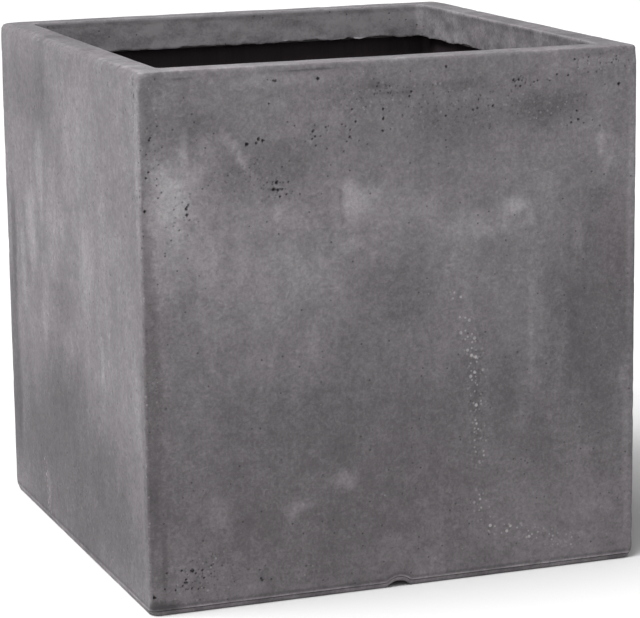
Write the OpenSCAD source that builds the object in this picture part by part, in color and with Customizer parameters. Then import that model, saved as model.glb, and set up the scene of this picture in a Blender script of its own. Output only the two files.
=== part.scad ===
// Square planter box of glass-fibre-reinforced cement, cast in layers against the inside of a mould.
// From the outside in, a wall is a smooth cement face coat, glass mats, a thicker fibre-cement
// backing and a black waterproof seal. The rim is thickened and the face coat turns down inside it.
// Frame: origin on the ground at the centre of the footprint, +Z up, the front face towards -Y.

/* [Overall] */
// Outside width, along X
body_w = 500; // [350:5:900]
// Outside depth, along Y
body_d = 500; // [350:5:900]
// Height from the ground to the top of the rim
body_h = 510; // [300:5:900]
// Radius of the upright outer edges
edge_r = 5; // [4:0.5:8]

/* [Wall layers] */
// Thickness of the cement face coat
coat_t = 3; // [2:0.5:4]
// Thickness of the fibre-cement backing, with the mats pressed into its outer side
backing_t = 8; // [6:0.5:12]
// Thickness of one glass mat
mat_t = 0.8; // [0.5:0.1:1]
// Bare border that each mat leaves at the edges of its panel
mat_margin = 15; // [10:1:25]
// Length of each leg of the corner strips that lap over the wall mats
strip_leg = 70; // [40:5:90]
// Thickness of the black waterproof seal
seal_t = 1.5; // [1:0.5:3]
// Radius of the upright corners inside the walls
inner_r = 12; // [8:1:25]

/* [Rim] */
// Thickness of the wall at the rim
rim_t = 29; // [26:1:50]
// Depth of the lip that hangs inside the rim
rim_drop = 35; // [25:1:60]
// Rounding of the rim's outer top edge
rim_round = 4; // [2:0.5:6]
// Radius of the rim's inner corners
rim_inner_r = 8; // [4:1:20]

/* [Base] */
// Height of the foot that runs round under the base
foot_h = 14; // [12:1:30]
// Width of the foot
foot_w = 32; // [26:1:60]
// Height of foot that stays bare below the face coat, which is also the rounding of its lower edge
foot_show = 5; // [4:0.5:6]
// Thickness of the floor slab
slab_t = 14; // [12:1:30]
// Width of the drainage notch at the middle of the front and back of the foot
notch_w = 24; // [18:1:40]
// Height of the drainage notch
notch_h = 6; // [5:0.5:8]
// Width of the bare band of foot round each notch
notch_band = 4; // [3:0.5:4]

/* [Drain] */
// Bore of the plastic sleeve cast into the floor
drain_d = 24; // [16:1:40]
// Wall of the sleeve
sleeve_t = 2; // [1.5:0.5:3]
// How far the sleeve's flange reaches past the sleeve
flange_reach = 9; // [6:1:15]
// Thickness of the sleeve's flange
flange_t = 2; // [1.5:0.5:3]
// Radial clearance of the plug's ribs in the sleeve
plug_gap = 0.08; // [0.05:0.01:0.1]
// Length of the plug's ribbed stem
plug_stem_l = 12; // [8:1:15]
// Thickness of the plug's head
plug_head_t = 4; // [3:0.5:6]
// Diameter of the grip on top of the plug
grip_d = 16; // [12:1:20]
// Height of the grip
grip_h = 14; // [12:1:20]

/* [Hidden] */

cement_grey = [0.45, 0.44, 0.46];
backing_grey = [0.56, 0.55, 0.53];
glass_white = [0.86, 0.87, 0.84];
seal_black = [0.10, 0.10, 0.11];
plastic_black = [0.14, 0.14, 0.15];
rubber_black = [0.06, 0.06, 0.06];

least_r = 0.5;                          // the sharpest corner that a laid-up layer takes
over = 1;                               // how far a cutter runs past what it cuts
corner_fn = 48;
notch_fn = 96;
drain_fn = 96;

wall_t = coat_t + backing_t;            // everything but the seal
under_z = foot_h;                       // underside of the base
slab_z = under_z + coat_t;
floor_z = slab_z + slab_t;              // top of the slab, where the backing and the seal stand
seal_floor_z = floor_z + seal_t;
coat_top_z = body_h - coat_t;           // underside of the face coat on the rim
lip_z = body_h - rim_drop;              // lower edge of the lip inside the rim

sleeve_od = drain_d + 2 * sleeve_t;
flange_d = sleeve_od + 2 * flange_reach;
flange_z = seal_floor_z + flange_t;     // the seat of the plug's head
plug_stem_d = drain_d - 2 * plug_gap;
plug_head_d = flange_d - 4;
plug_stem_z = flange_z - plug_stem_l;   // lower end of the plug's stem
plug_rib_h = plug_stem_l / 5;
plug_waist = 1.2;                       // how far the stem draws in between its ribs

// A centred rectangle with four round corners.
module plan(w, d, r) {
    square([w - 2 * r, d], center = true);
    square([w, d - 2 * r], center = true);
    for (x = [-1, 1], y = [-1, 1])
        translate([x * (w / 2 - r), y * (d / 2 - r)]) circle(r, $fn = corner_fn);
}

// The body's outline at a depth inside its outer faces.
module inset_plan(depth, r = undef) {
    plan(body_w - 2 * depth, body_d - 2 * depth, is_undef(r) ? max(edge_r - depth, least_r) : r);
}

// A prism on that outline between two heights.
module layer(from, to, depth, r = undef) {
    translate([0, 0, from]) linear_extrude(to - from) inset_plan(depth, r);
}

// The body seen square on: a rectangle with its foot and its rim rounded.
module elevation(span) {
    foot_x = span / 2 - foot_show;
    rim_x = span / 2 - rim_round;
    translate([-foot_x, 0]) square([2 * foot_x, body_h / 2]);
    translate([-rim_x, body_h / 2]) square([2 * rim_x, body_h / 2]);
    translate([-span / 2, foot_show]) square([span, body_h - foot_show - rim_round]);
    for (x = [-1, 1]) {
        translate([x * foot_x, foot_show]) circle(foot_show, $fn = corner_fn);
        translate([x * rim_x, body_h - rim_round]) circle(rim_round, $fn = corner_fn);
    }
}

// Runs an elevation through the body along Y.
module along_y(length) {
    translate([0, length / 2, 0]) rotate([90, 0, 0]) linear_extrude(length) children();
}

// The outside shape of the whole planter.
module envelope() {
    intersection() {
        linear_extrude(body_h) plan(body_w, body_d, edge_r);
        along_y(body_d) elevation(body_w);
        rotate([0, 0, 90]) along_y(body_w) elevation(body_d);
    }
}

// The notches' way through the front and the back of the foot: a round bar that is mostly below
// the ground, so that only a low arch of this width and height stands above it.
module notch_way(width, height) {
    r = (width * width / 4 + height * height) / (2 * height);
    along_y(body_d + 2 * over) translate([0, height - r]) circle(r, $fn = notch_fn);
}

// Fine cement skin over the outside, the top of the rim and the lip inside it.
module face_coat() {
    color(cement_grey) union() {
        difference() {
            envelope();
            layer(-over, foot_show, -over, edge_r);
            layer(-over, coat_top_z, coat_t);
            layer(-over, body_h + over, rim_t, rim_inner_r);
            notch_way(notch_w + 2 * notch_band, notch_h + notch_band);
        }
        difference() {
            layer(lip_z, coat_top_z, rim_t - coat_t, rim_inner_r + coat_t);
            layer(lip_z - over, body_h, rim_t, rim_inner_r);
        }
    }
}

// Thicker hand-laid fibre cement behind the face coat, with shallow pockets where the mats lie.
module fibre_backing() {
    color(backing_grey) difference() {
        layer(floor_z, coat_top_z, coat_t);
        layer(floor_z - over, body_h, wall_t, inner_r);
        wall_mat("x", -1);
        wall_mat("x", 1);
        wall_mat("y", -1);
        wall_mat("y", 1);
        corner_strips();
    }
}

// Stiffening ring packed into the rim between the backing and the lip.
module rim_core() {
    color(backing_grey) difference() {
        layer(lip_z, coat_top_z, wall_t, inner_r);
        layer(lip_z - over, body_h, rim_t - coat_t, rim_inner_r + coat_t);
    }
}

// Foot round the underside, bare and rounded below the face coat, with a notch front and back.
module foot_ring() {
    color(cement_grey) difference() {
        intersection() {
            envelope();
            union() {
                layer(0, foot_show, 0, edge_r);
                layer(foot_show, foot_h, coat_t);
                intersection() {
                    notch_way(notch_w + 2 * notch_band, notch_h + notch_band);
                    layer(0, foot_h, 0, edge_r);
                }
            }
        }
        layer(-over, foot_h + over, foot_w, inner_r);
        notch_way(notch_w, notch_h);
    }
}

// A round hole down through the floor.
module floor_hole(d) {
    translate([0, 0, -over]) cylinder(h = body_h, d = d, $fn = drain_fn);
}

// Face coat on the underside of the base.
module underside_coat() {
    color(cement_grey) difference() {
        layer(under_z, slab_z, coat_t);
        floor_hole(sleeve_od);
    }
}

// Floor slab, which carries the walls and holds the drain sleeve.
module base_slab() {
    color(backing_grey) difference() {
        layer(slab_z, floor_z, coat_t);
        floor_mat();
        floor_hole(sleeve_od);
    }
}

// One wall's glass mat. across is the axis that its panel faces, and side is -1 or 1 along it.
module wall_mat(across, side) {
    span = (across == "x" ? body_d : body_w) - 2 * (coat_t + mat_margin);
    reach = (across == "x" ? body_w : body_d) / 2 - coat_t;
    bottom = floor_z + mat_margin;
    height = coat_top_z - mat_margin - bottom;
    color(glass_white) rotate([0, 0, across == "x" ? 90 : 0])
        translate([-span / 2, (across == "x" ? -side : side) * (reach - mat_t / 2) - mat_t / 2, bottom])
            cube([span, mat_t, height]);
}

// Glass mat under the floor slab, cut back round the drain.
module floor_mat() {
    color(glass_white) difference() {
        layer(slab_z, slab_z + mat_t, coat_t + mat_margin, least_r);
        floor_hole(sleeve_od + 2 * mat_margin);
    }
}

// Upright angle of mat in one corner, lapping over the edges of two wall mats. x and y are -1 or 1.
module corner_strip(x, y) {
    depth = coat_t + mat_t;
    bottom = floor_z + mat_margin;
    top = coat_top_z - mat_margin;
    color(glass_white) intersection() {
        difference() {
            layer(bottom, top, depth);
            layer(0, body_h, depth + mat_t);
        }
        translate([x * (body_w - strip_leg) / 2, y * (body_d - strip_leg) / 2, (bottom + top) / 2])
            cube([strip_leg, strip_leg, top - bottom + 2 * over], center = true);
    }
}

// All four corner angles, as the backing takes them.
module corner_strips() {
    for (x = [-1, 1], y = [-1, 1]) corner_strip(x, y);
}

// Black seal over the floor and the walls, up to the underside of the lip.
module waterproof_seal() {
    color(seal_black) difference() {
        layer(floor_z, lip_z, wall_t, inner_r);
        layer(seal_floor_z, body_h, wall_t + seal_t, inner_r - seal_t);
        floor_hole(sleeve_od);
    }
}

// Flanged plastic tube that lines the drain hole.
module drain_sleeve() {
    color(plastic_black) difference() {
        union() {
            translate([0, 0, under_z]) cylinder(h = flange_z - under_z, d = sleeve_od, $fn = drain_fn);
            translate([0, 0, seal_floor_z]) cylinder(h = flange_t, d = flange_d, $fn = drain_fn);
        }
        floor_hole(drain_d);
    }
}

// Rubber plug: a ribbed stem in the sleeve, a head on its flange and a waisted grip.
module drain_plug() {
    waist_d = plug_stem_d - 2 * plug_waist;
    head_top = flange_z + plug_head_t;
    neck_h = grip_h / 2;
    color(rubber_black) union() {
        translate([0, 0, plug_stem_z]) cylinder(h = plug_stem_l, d = waist_d, $fn = drain_fn);
        for (i = [0 : 2 : 4])
            translate([0, 0, plug_stem_z + i * plug_rib_h])
                cylinder(h = plug_rib_h, d = plug_stem_d, $fn = drain_fn);
        translate([0, 0, flange_z]) cylinder(h = plug_head_t, d = plug_head_d, $fn = drain_fn);
        translate([0, 0, head_top]) cylinder(h = neck_h, d = grip_d * 0.6, $fn = drain_fn);
        translate([0, 0, head_top + neck_h]) cylinder(h = grip_h - neck_h, d = grip_d, $fn = drain_fn);
    }
}

face_coat();
fibre_backing();
rim_core();
foot_ring();
underside_coat();
base_slab();
wall_mat("y", -1);  // mat_front
wall_mat("y", 1);  // mat_back
wall_mat("x", -1);  // mat_left
wall_mat("x", 1);  // mat_right
floor_mat();  // mat_base
corner_strip(-1, -1);  // strip_front_left
corner_strip(1, -1);  // strip_front_right
corner_strip(-1, 1);  // strip_back_left
corner_strip(1, 1);  // strip_back_right
waterproof_seal();
drain_sleeve();
drain_plug();
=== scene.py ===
from math import cos, pi, radians, sin

import bmesh
import bpy
import numpy as np
from mathutils import Matrix, Vector, kdtree, noise


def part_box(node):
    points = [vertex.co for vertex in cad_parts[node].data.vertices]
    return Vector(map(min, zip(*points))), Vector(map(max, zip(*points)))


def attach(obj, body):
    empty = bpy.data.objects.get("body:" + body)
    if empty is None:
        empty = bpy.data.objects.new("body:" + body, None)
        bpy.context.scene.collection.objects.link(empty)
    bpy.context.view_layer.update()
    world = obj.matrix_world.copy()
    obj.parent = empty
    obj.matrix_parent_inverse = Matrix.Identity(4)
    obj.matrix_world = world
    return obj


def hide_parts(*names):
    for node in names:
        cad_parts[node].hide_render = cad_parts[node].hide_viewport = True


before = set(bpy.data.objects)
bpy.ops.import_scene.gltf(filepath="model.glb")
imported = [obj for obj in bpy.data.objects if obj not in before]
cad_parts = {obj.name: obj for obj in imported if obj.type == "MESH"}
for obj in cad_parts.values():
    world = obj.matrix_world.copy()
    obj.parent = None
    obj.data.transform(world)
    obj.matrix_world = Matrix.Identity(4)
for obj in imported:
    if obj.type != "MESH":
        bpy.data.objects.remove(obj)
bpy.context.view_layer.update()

# ------------------------ sizes, in millimetres
MM = 0.001
coat_low, coat_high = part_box("face_coat")
HALF = coat_high[0] / MM                        # from the middle to an outer face
TOP = coat_high[2] / MM
SEAM_Z = coat_low[2] / MM                       # lower edge of the face coat
LIP_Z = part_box("rim_core")[0][2] / MM           # lower edge of the lip inside the rim
BASE_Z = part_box("foot_ring")[1][2] / MM         # underside of the base
WALL_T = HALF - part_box("rim_core")[1][0] / MM   # cement wall below the rim, without the seal
COAT_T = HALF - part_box("fibre_backing")[1][0] / MM
RIM_T = 29
FOOT_W = 32
NOTCH_W, NOTCH_H = 24, 6
NOTCH_BAND = 4      # how far the foot rises over the notch
NOTCH_REACH = 25    # height above which the notch no longer lifts the coat
SEAM_GAP = 0.15     # between the foot and the coat over it
SEAL_T = 1.5
SLEEVE_R, SLEEVE_BORE_R = 14, 12

EDGE_R = 3          # upright outer edges
GROUND_SPREAD = 8   # how much rounder they get at the ground
TOP_SPREAD = 3      # and at the rim
ARRIS_R = 3.6       # outer top edge
ARRIS_RUBBED = 4.4  # how much rounder it is on the left side
RIM_INNER_R = 8     # upright corners inside the rim
BASE_RISE = 9       # height of the soft rounding at the foot
BASE_INSET = 2.6    # how far it draws in at the ground
CORNER_STEPS = 4    # straight pieces in each rounded corner of a turned profile

SIDES = {"front": (0, -1), "right": (1, 0), "back": (0, 1), "left": (-1, 0)}


# ------------------------ small mathematics
def side_axes(side):
    """The way a side faces, and the way to the right as it is looked at from outside."""
    out = np.array(SIDES[side])
    return out, np.array([-out[1], out[0]])


def ease(x, low, high):
    """0 below low, 1 above high, and a smooth rise between them."""
    t = np.clip((np.asarray(x, float) - low) / (high - low), 0, 1)
    return t * t * (3 - 2 * t)


def fuzz(points, size, seed=0, stretch=(1, 1, 1)):
    """Smooth noise from about -1 to 1 at each point, in blotches about size wide."""
    scaled = points / (size * np.array(stretch)) + 19.7 * seed
    return np.array([noise.noise(p) for p in scaled.tolist()]) * 1.6


def layered(points, size, seed=0, stretch=(1, 1, 1)):
    """Three octaves of fuzz."""
    return (fuzz(points, size, seed, stretch) + 0.5 * fuzz(points, size / 2.1, seed + 1, stretch)
            + 0.25 * fuzz(points, size / 4.3, seed + 2, stretch)) / 1.5


# ------------------------ the swept cast shapes
def outline():
    """Stations round a square: the point of its core that each stands on, and the way it faces."""
    by_notch, plain = np.linspace(0, 0.075, 11), np.linspace(0.075, 0.9, 40)[1:]
    half = np.concatenate([by_notch, plain, np.linspace(0.9, 1, 12)[1:]])
    flat = np.concatenate([-half[:0:-1], half])
    cores, faces = [], []
    for side in range(4):
        turn = radians(90 * (side - 1))
        out, along = np.array([cos(turn), sin(turn)]), np.array([-sin(turn), cos(turn)])
        for t in flat:
            cores.append(out + t * along)
            faces.append(out)
        for bend in np.linspace(0, pi / 2, 8)[1:-1]:
            cores.append(out + along)
            faces.append(cos(bend) * out + sin(bend) * along)
    return np.array(cores), np.array(faces)


def ring_quads(rows, around, closed=True):
    """Quads between rows of points that run round. A closed grid also joins its last row to its first."""
    return [
        (j * around + i, j * around + (i + 1) % around,
         (j + 1) % rows * around + (i + 1) % around, (j + 1) % rows * around + i)
        for j in range(rows if closed else rows - 1) for i in range(around)
    ]


def sweep(profile, stations, arris=None):
    """Runs a closed profile of (inset, z, corner radius) round the square, as a quad mesh.

    arris gives each station its own rounding of the outer top edge. The last two rows lie inside the
    wall, so it leaves them alone.
    """
    cores, faces = stations
    around, high = len(cores), len(profile)
    points = np.zeros((high, around, 3))
    for j, (inset, z, radius) in enumerate(profile):
        inset, z = np.full(around, float(inset)), np.full(around, float(z))
        if arris is not None and j < high - 2:
            away = np.stack([arris - inset, arris - (TOP - z)])
            long = np.linalg.norm(away, axis=0)
            curved = away.min(axis=0) > 0
            scale = np.where(curved, arris / np.maximum(long, 1e-6), 1)
            inset = np.where(curved, arris - away[0] * scale, inset)
            z = np.where(curved, TOP - arris + away[1] * scale, z)
        points[j, :, :2] = cores * (HALF - inset - radius)[:, None] + faces * radius
        points[j, :, 2] = z
    return points.reshape(-1, 3), ring_quads(high, around)


def arris_rounding(stations):
    """The left side's top edge was rubbed rounder than the others. It is never quite even."""
    cores, _ = stations
    spots = np.column_stack([cores * HALF, np.zeros(len(cores))])
    left = ease(-cores[:, 0] - np.abs(cores[:, 1]), -0.06, 0.06)
    return ARRIS_R + ARRIS_RUBBED * left + 0.7 * fuzz(spots, 60, 91) * (1 + left)


def upright_radius(z):
    """Radius of the upright outer edges at a height. They widen to the ground."""
    return EDGE_R + GROUND_SPREAD * (1 - float(ease(z, -3, 14)))


def base_inset(z):
    """How far the rounding at the foot draws in at a height."""
    drop = np.clip((BASE_RISE - np.asarray(z, float)) / BASE_RISE, 0, 1)
    return BASE_INSET * (1 - np.sqrt(1 - drop * drop))


def arch(x, width, height):
    """Height of a low round arch over the ground."""
    r = (width * width / 4 + height * height) / (2 * height)
    return np.clip(np.sqrt(np.clip(r * r - x * x, 0, None)) - (r - height), 0, None)


def notched(points):
    """(height of the notch, height of the coat's lower edge) at the place of each point."""
    ends = np.abs(points[:, 1]) > np.abs(points[:, 0])
    x = np.where(ends, np.abs(points[:, 0]), HALF)
    over = arch(x, NOTCH_W + 2 * NOTCH_BAND, NOTCH_H + NOTCH_BAND)
    return arch(x, NOTCH_W, NOTCH_H), np.maximum(SEAM_Z, over)


def outward(points):
    """The side that each point of a wall faces, as a unit vector in plan."""
    x, y = points[:, 0], points[:, 1]
    wide = np.abs(x) > np.abs(y)
    return np.stack([np.where(wide, np.sign(x), 0), np.where(wide, 0, np.sign(y))], axis=1)


def shell_profile():
    """Section of the face coat: up the outside, over the rim, down the lip and back inside the wall."""
    rows = [(COAT_T, SEAM_Z + 1.2, 6), (1.9, SEAM_Z + 0.1, 7), (1, SEAM_Z, 8)]
    low = [SEAM_Z + up for up in (0.3, 0.8, 1.4, 2.1, 3, 4.2, 5.8, 8, 11, 15, 20)]
    high = [TOP - down for down in (11, 9, 7.5, 6, 5, 4, 3, 2, 1, 0.4)]
    for z in low + list(np.linspace(low[-1], high[0], 92)[1:-1]) + high:
        radius = upright_radius(z) + TOP_SPREAD * float(ease(z, TOP - 18, TOP - 4))
        rows.append((float(base_inset(z)), z, radius))
    start, inner_arris = EDGE_R + TOP_SPREAD, 1.6
    for inset in (0.4, 1, 2, 3, 4, 5, 6, 7.5, 9, 12, 15, 18, 21, 24, RIM_T - inner_arris):
        rows.append((inset, TOP, start + (RIM_INNER_R - start) * inset / RIM_T))
    for a in np.radians([30, 60, 90]):
        inset = RIM_T - inner_arris + inner_arris * sin(a)
        rows.append((inset, TOP - inner_arris + inner_arris * cos(a), RIM_INNER_R))
    for z in np.linspace(TOP - inner_arris, LIP_Z + 0.6, 16)[1:]:
        rows.append((RIM_T, z, RIM_INNER_R))
    rows += [(RIM_T - 0.4, LIP_Z + 0.1, RIM_INNER_R), (RIM_T - 1.4, LIP_Z, RIM_INNER_R + 1)]
    hidden = RIM_T - COAT_T     # from here on the rows lie inside the wall
    rows += [(hidden, LIP_Z + 0.2, RIM_INNER_R + COAT_T), (hidden, TOP - COAT_T, RIM_INNER_R + COAT_T)]
    rows += [(COAT_T, TOP - COAT_T, 2), (COAT_T, HALF, 2)]
    return rows


def foot_profile():
    """Section of the foot ring: up its outside, in under the base, down inside and across the ground."""
    rows = []
    for z in (0, 0.2, 0.6, 1.2, 1.9, 2.6, 3.4, 4.2, SEAM_Z - SEAM_GAP):
        rows.append((float(base_inset(z)) + 0.35, z, upright_radius(z)))
    rows += [(1.9, SEAM_Z, 7), (COAT_T, SEAM_Z + 0.8, 6)]
    rows += [(COAT_T, BASE_Z, 3), (FOOT_W, BASE_Z, 12), (FOOT_W, 8, 12), (FOOT_W, 2.2, 12)]
    rows += [(FOOT_W - 0.4, 1, 12), (FOOT_W - 1.5, 0.2, 12), (FOOT_W - 4, 0, 12)]
    rows += [(24, 0, 11), (18, 0, 10.5), (12, 0, 10), (8, 0, 9.5)]
    return rows


# ------------------------ air holes in the cement
# Groups of air holes: side, place along it, height, spread along, spread up, how many, and the smallest
# and largest radius. Places run to the right as the side is looked at from outside.
AIR_HOLES = [
    # single large holes
    ("front", -75, 495, 2, 2, 1, 1.7, 1.8),
    ("front", 230, 475, 2, 2, 1, 1.8, 1.9),
    ("front", -245, 385, 1, 2, 1, 1.6, 1.8),
    ("front", -245, 20, 1, 2, 1, 1.7, 1.9),
    ("front", 50, 500, 3, 2, 1, 1.3, 1.5),
    ("front", -210, 40, 2, 2, 1, 2.0, 2.1),
    # the groups along the upper part and in the lower left corner
    ("front", -205, 380, 3, 16, 4, 1.2, 1.6),
    ("front", -115, 395, 9, 8, 9, 1.0, 2.0),
    ("front", -140, 440, 20, 5, 4, 1.2, 1.9),
    ("front", -80, 440, 8, 10, 5, 1.0, 1.4),
    ("front", -45, 455, 8, 14, 5, 1.0, 1.4),
    ("front", -10, 455, 4, 12, 3, 1.2, 1.7),
    ("front", 15, 475, 5, 5, 2, 1.2, 1.3),
    ("front", 125, 480, 8, 5, 3, 1.2, 1.4),
    ("front", 185, 445, 5, 8, 3, 1.2, 1.6),
    ("front", 80, 455, 30, 18, 5, 1.0, 1.3),
    ("front", 175, 485, 10, 3, 2, 1.1, 1.2),
    ("front", -240, 430, 6, 30, 4, 1.1, 1.3),
    ("front", -120, 490, 24, 12, 3, 1.0, 1.3),
    ("front", -205, 32, 16, 12, 8, 1.1, 1.5),
    ("front", -135, 25, 30, 4, 2, 1.2, 1.4),
    # pinholes round them
    ("front", -120, 400, 22, 14, 9, 0.6, 0.9),
    ("front", -210, 375, 16, 22, 12, 0.6, 0.9),
    ("front", -60, 440, 34, 16, 14, 0.6, 0.9),
    ("front", -10, 480, 30, 10, 10, 0.6, 0.9),
    ("front", 130, 480, 18, 5, 12, 0.6, 1.0),
    ("front", 185, 445, 8, 12, 6, 0.6, 0.9),
    ("front", 205, 495, 34, 9, 18, 0.6, 1.0),
    ("front", 60, 455, 60, 26, 12, 0.6, 0.8),
    ("front", -150, 405, 34, 16, 9, 0.6, 0.8),
    ("front", -208, 34, 20, 17, 20, 0.6, 1.1),
    ("front", -150, 28, 34, 12, 8, 0.6, 0.9),
    ("front", -235, 430, 9, 60, 10, 0.6, 0.9),
    ("front", 60, 90, 110, 60, 12, 0.6, 0.8),
    ("left", 236, 490, 4, 8, 3, 1.1, 2.0),
    ("left", 238, 492, 7, 10, 8, 0.6, 1.0),
    ("left", 0, 440, 200, 50, 12, 0.6, 1.1),
    ("left", 110, 60, 90, 50, 12, 0.6, 1.2),
    ("right", -150, 440, 50, 40, 28, 0.6, 1.6),
    ("right", 90, 478, 90, 18, 22, 0.6, 1.2),
    ("right", 170, 52, 50, 30, 24, 0.6, 1.6),
    ("right", -60, 250, 120, 120, 14, 0.6, 1.0),
    ("back", -120, 470, 60, 20, 26, 0.6, 1.5),
    ("back", 80, 400, 34, 24, 18, 0.6, 1.7),
    ("back", 196, 60, 34, 30, 24, 0.6, 1.6),
    ("back", -100, 180, 100, 90, 14, 0.6, 1.0),
]


def on_side(side, along, z):
    """The point of an outer face at a place along it and a height."""
    out, right = side_axes(side)
    x, y = out * HALF + right * along
    return x, y, z


def air_holes(rng):
    """(centre, radius, depth) of every air hole in the outer faces."""
    holes = []
    for side, along, z, wide, tall, count, smallest, largest in AIR_HOLES:
        draws = zip(rng.normal(0, 0.55, count), rng.normal(0, 0.55, count), rng.random(count))
        for a, b, size in draws:
            radius = smallest + (largest - smallest) * size ** 1.5
            place = np.clip(along + a * wide, 3 - HALF, HALF - 3)
            height = np.clip(z + b * tall, SEAM_Z + 4, TOP - 5)
            holes.append((on_side(side, place, height), radius, radius * 1.35))
    return holes


def refine(mesh, holes, reaches):
    """Halves the faces near the holes, once for each reach beyond their radius."""
    tree = kdtree.KDTree(len(holes))
    for i, (centre, _, _) in enumerate(holes):
        tree.insert(centre, i)
    tree.balance()
    for reach in reaches:
        near = []
        for face in mesh.faces:
            _, i, gap = tree.find(face.calc_center_median())
            if gap < holes[i][1] + reach:
                near.append(face)
        edges = list({edge for face in near for edge in face.edges})
        bmesh.ops.subdivide_edges(mesh, edges=edges, cuts=1, use_grid_fill=True)


def hole_depth(points, holes):
    """How deep the air holes reach at each point, and 0 to 1 for how much painted shade it gets inside
    one.
    """
    deep, inside = np.zeros(len(points)), np.zeros(len(points))
    for n, (centre, radius, depth) in enumerate(holes):
        away = points - np.array(centre)
        near = np.flatnonzero(np.abs(away).max(axis=1) < 2 * radius)
        if not len(near):
            continue
        away = away[near]
        ragged = radius * (1 + 0.3 * fuzz(away, radius, seed=n))
        r = np.linalg.norm(away, axis=1) / ragged
        deep[near] = np.maximum(deep[near], depth * np.sqrt(np.clip(1 - r ** 2.4, 0, 1)))
        # painted shade in the hole, stronger for the larger ones
        hole_shade = 0.5 + 0.4 * ease(radius, 0.8, 1.8)
        inside[near] = np.maximum(inside[near], hole_shade * (1 - ease(r, 0.5, 1.2)))
    return deep, inside
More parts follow.
